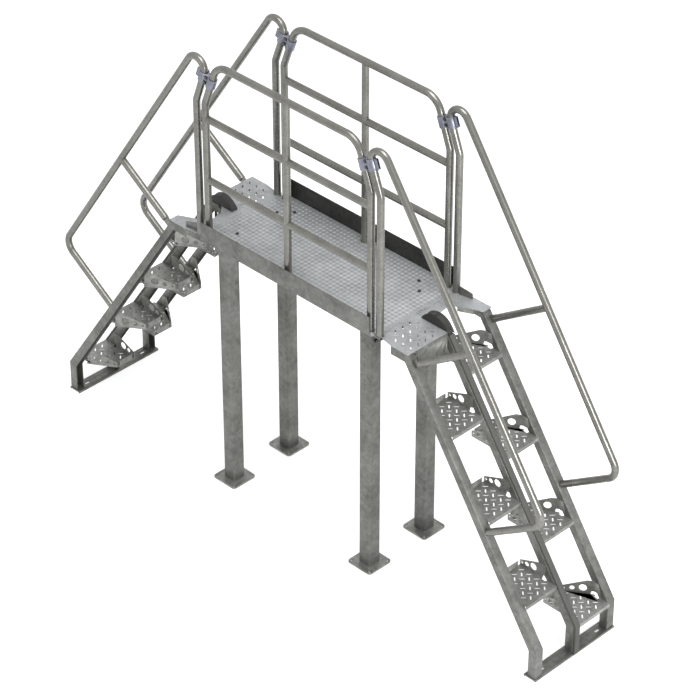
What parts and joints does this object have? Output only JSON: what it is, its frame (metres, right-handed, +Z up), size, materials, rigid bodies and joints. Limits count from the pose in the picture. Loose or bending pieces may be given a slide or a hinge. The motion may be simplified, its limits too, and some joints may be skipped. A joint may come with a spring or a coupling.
{
  "type": "crossover ladder",
  "caption": "Galvanised steel crossover ladder: a raised deck on legs with guard rails and an alternating-tread stair with handrails at each end.",
  "frame": {"origin": "on the floor, midway between the four legs", "axes": "+X along the crossover towards the near stair, +Y across it towards the back, +Z up"},
  "size_m": [3.511, 0.6136, 2.5893],
  "materials": {
    "galvanised_steel": "satin",
    "galvanised_tube": "satin",
    "galvanised_plate": "satin",
    "galvanised_tread": "satin",
    "zinc_clamp": "satin",
    "rubber": "matt"
  },
  "bodies": {
    "root": {"deck_plate": "galvanised_plate", "front_beam": "galvanised_steel", "back_beam": "galvanised_steel", "cross_members": "galvanised_steel", "front_toe_board": "galvanised_steel", "back_toe_board": "galvanised_steel", "leg_1": "galvanised_steel", "leg_2": "galvanised_steel", "leg_3": "galvanised_steel", "leg_4": "galvanised_steel", "base_plate_1": "galvanised_steel", "base_plate_2": "galvanised_steel", "base_plate_3": "galvanised_steel", "base_plate_4": "galvanised_steel", "front_guard_frame": "galvanised_tube", "back_guard_frame": "galvanised_tube", "front_mid_post": "galvanised_tube", "back_mid_post": "galvanised_tube", "front_mid_rails": "galvanised_tube", "back_mid_rails": "galvanised_tube", "handrail_1": "galvanised_tube", "handrail_2": "galvanised_tube", "handrail_3": "galvanised_tube", "handrail_4": "galvanised_tube", "near_struts": "galvanised_tube", "far_struts": "galvanised_tube", "near_clamps": "zinc_clamp", "far_clamps": "zinc_clamp", "near_landing": "galvanised_plate", "near_end_plate": "galvanised_steel", "near_front_stringer": "galvanised_steel", "near_back_stringer": "galvanised_steel", "near_centre_stringer": "galvanised_steel", "near_rubber_strip": "rubber", "near_foot_divider": "rubber", "near_foot_plate": "galvanised_steel", "near_tread_1": "galvanised_tread", "near_tread_2": "galvanised_tread", "near_tread_3": "galvanised_tread", "near_tread_4": "galvanised_tread", "near_tread_5": "galvanised_tread", "near_tread_6": "galvanised_tread", "near_tread_7": "galvanised_tread", "far_landing": "galvanised_plate", "far_end_plate": "galvanised_steel", "far_front_stringer": "galvanised_steel", "far_back_stringer": "galvanised_steel", "far_centre_stringer": "galvanised_steel", "far_rubber_strip": "rubber", "far_foot_divider": "rubber", "far_foot_plate": "galvanised_steel", "far_tread_1": "galvanised_tread", "far_tread_2": "galvanised_tread", "far_tread_3": "galvanised_tread", "far_tread_4": "galvanised_tread", "far_tread_5": "galvanised_tread", "far_tread_6": "galvanised_tread", "far_tread_7": "galvanised_tread"}
  },
  "joints": []
}
